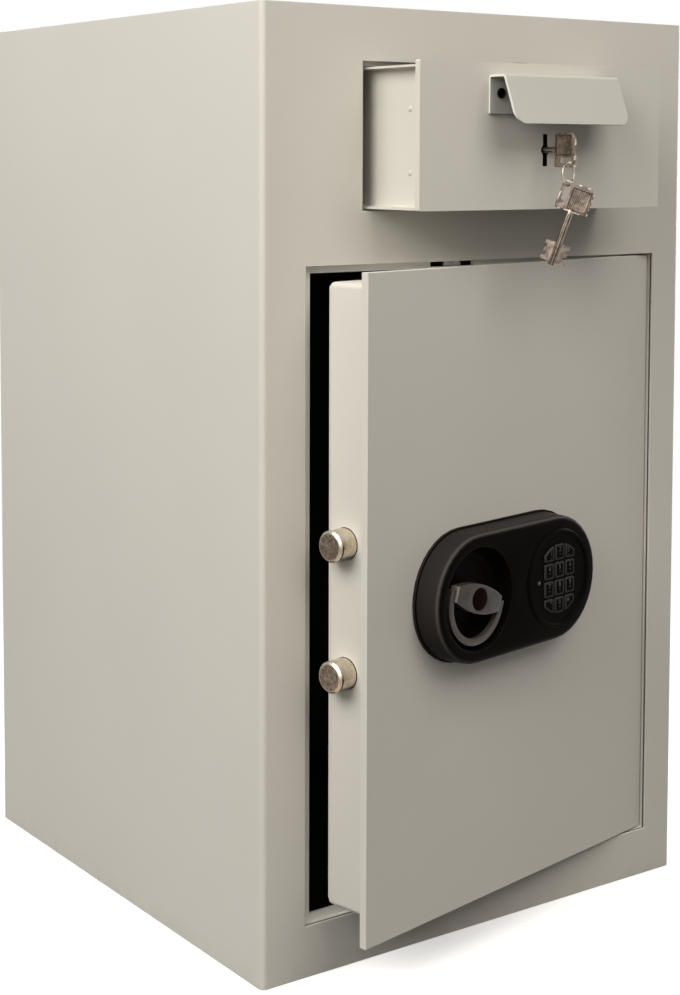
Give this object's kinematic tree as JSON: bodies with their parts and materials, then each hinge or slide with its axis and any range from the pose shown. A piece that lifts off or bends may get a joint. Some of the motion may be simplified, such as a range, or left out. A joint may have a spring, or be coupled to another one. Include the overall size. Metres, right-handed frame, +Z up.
{
  "type": "drop safe with deposit drawer",
  "caption": "Upright steel safe with a hinged lower door worked by a recessed turning handle and keypad lock, and a key-locked deposit drawer above that drops its contents inside.",
  "frame": {"origin": "middle of the cabinet's base, on the floor", "axes": "+Z up, +Y from the front into the safe, +X to the right seen from the front"},
  "size_m": [0.396, 0.5074, 0.68],
  "materials": {
    "paint": "powder coat, warm light grey, satin, fine orange peel",
    "zinc_plate": "zinc plated sheet, dull",
    "bright_steel": "bright steel",
    "nickel_plate": "satin nickel plate",
    "black_moulding": "black moulded plastic, fine texture",
    "grey_moulding": "dark grey moulded plastic",
    "key_rubber": "black silicone rubber",
    "lamp_lens": "dark red lens"
  },
  "bodies": {
    "cabinet": {"cabinet_wrap": "paint", "top_panel": "paint", "base_panel": "paint", "back_panel": "paint", "anchor_plug_1": "black_moulding", "anchor_plug_2": "black_moulding", "door_frame": "paint", "door_keep": "bright_steel", "hinge_leaf_upper": "zinc_plate", "hinge_leaf_lower": "zinc_plate", "drawer_surround": "paint", "drawer_runner_left": "zinc_plate", "drawer_runner_right": "zinc_plate", "fishing_baffle": "zinc_plate"},
    "door": {"door_plate": "paint", "door_box": "paint", "door_back_cover": "paint", "hinge_lug_upper": "zinc_plate", "hinge_lug_lower": "zinc_plate", "thrust_washer_upper": "bright_steel", "thrust_washer_lower": "bright_steel", "bolt_guide": "zinc_plate", "electronic_lock": "zinc_plate", "lock_housing": "black_moulding", "keypad_disc": "black_moulding", "status_lamp": "lamp_lens"},
    "boltwork": {"lock_bolt_upper": "nickel_plate", "lock_bolt_lower": "nickel_plate", "bolt_carrier": "zinc_plate"},
    "handle": {"grip_bar": "grey_moulding", "hub_cap": "black_moulding", "handle_spindle": "bright_steel"},
    "fold_ring": {"pull_ring": "grey_moulding"},
    "drawer": {"drawer_front": "paint", "drawer_tray": "paint", "flap_rod": "bright_steel", "drawer_handle": "paint", "handle_screw_1": "bright_steel", "handle_screw_2": "bright_steel", "drawer_lock_case": "zinc_plate"},
    "flap": {"drop_flap": "paint"},
    "turning_key": {"drawer_key": "nickel_plate"},
    "drawer_bolt": {"drawer_lock_bolt": "bright_steel"},
    "key_ring": {"split_ring": "nickel_plate"},
    "hanging_key": {"spare_key": "nickel_plate"},
    "button_01": {"keypad_key_01": "key_rubber"},
    "button_02": {"keypad_key_02": "key_rubber"},
    "button_03": {"keypad_key_03": "key_rubber"},
    "button_04": {"keypad_key_04": "key_rubber"},
    "button_05": {"keypad_key_05": "key_rubber"},
    "button_06": {"keypad_key_06": "key_rubber"},
    "button_07": {"keypad_key_07": "key_rubber"},
    "button_08": {"keypad_key_08": "key_rubber"},
    "button_09": {"keypad_key_09": "key_rubber"},
    "button_10": {"keypad_key_10": "key_rubber"},
    "button_11": {"keypad_key_11": "key_rubber"},
    "button_12": {"keypad_key_12": "key_rubber"}
  },
  "joints": [
    {"name": "door_hinge", "type": "hinge", "parent": "cabinet", "child": "door", "pos_m": [0.14784, -0.193, 0.27], "axis": [0, 0, 1], "range_deg": [-11, 99]},
    {"name": "bolt_slide", "type": "slide", "parent": "door", "child": "boltwork", "axis": [0.9816, 0.1908, 0], "range_m": [0, 0.01598]},
    {"name": "handle_turn", "type": "hinge", "parent": "door", "child": "handle", "pos_m": [-0.05974, -0.24506, 0.26745], "axis": [-0.1908, 0.9816, 0], "range_deg": [0, 90]},
    {"name": "ring_fold", "type": "hinge", "parent": "handle", "child": "fold_ring", "pos_m": [-0.05643, -0.26205, 0.26745], "axis": [-0.9387, -0.1825, 0.2924], "range_deg": [0, 90]},
    {"name": "drawer_slide", "type": "slide", "parent": "cabinet", "child": "drawer", "axis": [0, -1, 0], "range_m": [-0.0616, 0.105]},
    {"name": "flap_drop", "type": "hinge", "parent": "drawer", "child": "flap", "pos_m": [0, -0.1873, 0.5447], "axis": [1, 0, 0], "range_deg": [-40, 0], "stiffness_Nm_per_rad": 0.8, "springref_deg": 34.38},
    {"name": "drawer_key_turn", "type": "hinge", "parent": "drawer", "child": "turning_key", "pos_m": [0, -0.2777, 0.5807], "axis": [0, 1, 0], "range_deg": [0, 90]},
    {"name": "drawer_bolt_slide", "type": "slide", "parent": "drawer", "child": "drawer_bolt", "axis": [0, 0, -1], "range_m": [0, 0.012]},
    {"name": "key_ring_swing", "type": "hinge", "parent": "turning_key", "child": "key_ring", "pos_m": [0, -0.2909, 0.5722], "axis": [0.3007, -0.9537, 0], "range_deg": [-12, 12]},
    {"name": "spare_key_swing", "type": "hinge", "parent": "key_ring", "child": "hanging_key", "pos_m": [0, -0.2909, 0.5561], "axis": [-0.5807, -0.8141, 0], "range_deg": [-15, 15]},
    {"name": "press_01", "type": "slide", "parent": "door", "child": "button_01", "axis": [-0.1908, 0.9816, 0], "range_m": [0, 0.0012], "stiffness_N_per_m": 300},
    {"name": "press_02", "type": "slide", "parent": "door", "child": "button_02", "axis": [-0.1908, 0.9816, 0], "range_m": [0, 0.0012], "stiffness_N_per_m": 300},
    {"name": "press_03", "type": "slide", "parent": "door", "child": "button_03", "axis": [-0.1908, 0.9816, 0], "range_m": [0, 0.0012], "stiffness_N_per_m": 300},
    {"name": "press_04", "type": "slide", "parent": "door", "child": "button_04", "axis": [-0.1908, 0.9816, 0], "range_m": [0, 0.0012], "stiffness_N_per_m": 300},
    {"name": "press_05", "type": "slide", "parent": "door", "child": "button_05", "axis": [-0.1908, 0.9816, 0], "range_m": [0, 0.0012], "stiffness_N_per_m": 300},
    {"name": "press_06", "type": "slide", "parent": "door", "child": "button_06", "axis": [-0.1908, 0.9816, 0], "range_m": [0, 0.0012], "stiffness_N_per_m": 300},
    {"name": "press_07", "type": "slide", "parent": "door", "child": "button_07", "axis": [-0.1908, 0.9816, 0], "range_m": [0, 0.0012], "stiffness_N_per_m": 300},
    {"name": "press_08", "type": "slide", "parent": "door", "child": "button_08", "axis": [-0.1908, 0.9816, 0], "range_m": [0, 0.0012], "stiffness_N_per_m": 300},
    {"name": "press_09", "type": "slide", "parent": "door", "child": "button_09", "axis": [-0.1908, 0.9816, 0], "range_m": [0, 0.0012], "stiffness_N_per_m": 300},
    {"name": "press_10", "type": "slide", "parent": "door", "child": "button_10", "axis": [-0.1908, 0.9816, 0], "range_m": [0, 0.0012], "stiffness_N_per_m": 300},
    {"name": "press_11", "type": "slide", "parent": "door", "child": "button_11", "axis": [-0.1908, 0.9816, 0], "range_m": [0, 0.0012], "stiffness_N_per_m": 300},
    {"name": "press_12", "type": "slide", "parent": "door", "child": "button_12", "axis": [-0.1908, 0.9816, 0], "range_m": [0, 0.0012], "stiffness_N_per_m": 300}
  ],
  "couplings": [
    {"joint": "handle_turn", "follows": "bolt_slide", "rad_per_m": 98.298},
    {"joint": "drawer_key_turn", "follows": "drawer_bolt_slide", "rad_per_m": 130.9}
  ]
}
